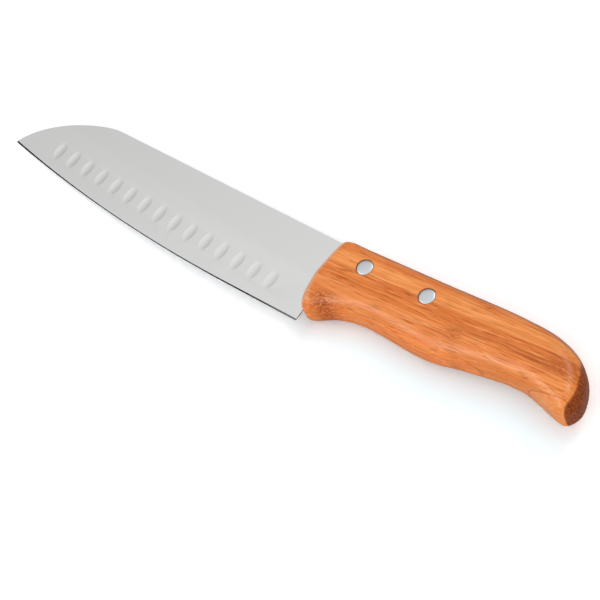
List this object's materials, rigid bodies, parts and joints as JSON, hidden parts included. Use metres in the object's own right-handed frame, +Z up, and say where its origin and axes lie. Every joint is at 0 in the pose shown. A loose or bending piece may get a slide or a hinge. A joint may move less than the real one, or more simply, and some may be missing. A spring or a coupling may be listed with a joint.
{
  "type": "slicing knife",
  "caption": "Broad slicing knife with a dimpled steel blade on a half tang and a riveted, laminated bamboo handle with a curved butt.",
  "frame": {"origin": "middle of the knife's box, on the surface that the handle's side lies on", "axes": "+X from the tip to the butt, +Y from the cutting edge to the spine, +Z up through the thickness"},
  "size_m": [0.311, 0.0446, 0.019],
  "materials": {
    "blade_steel": "satin",
    "spine_bamboo": "lacquered",
    "upper_bamboo": "lacquered",
    "middle_bamboo": "lacquered",
    "lower_bamboo": "lacquered",
    "belly_bamboo": "lacquered",
    "hook_bamboo": "lacquered",
    "rivet_steel": "polished"
  },
  "bodies": {
    "root": {"blade": "blade_steel", "spine_strip": "spine_bamboo", "upper_strip": "upper_bamboo", "middle_strip": "middle_bamboo", "lower_strip": "lower_bamboo", "belly_strip": "belly_bamboo", "hook_strip": "hook_bamboo", "front_rivet_tube": "rivet_steel", "front_rivet_pin": "rivet_steel", "rear_rivet_tube": "rivet_steel", "rear_rivet_pin": "rivet_steel"}
  },
  "joints": []
}
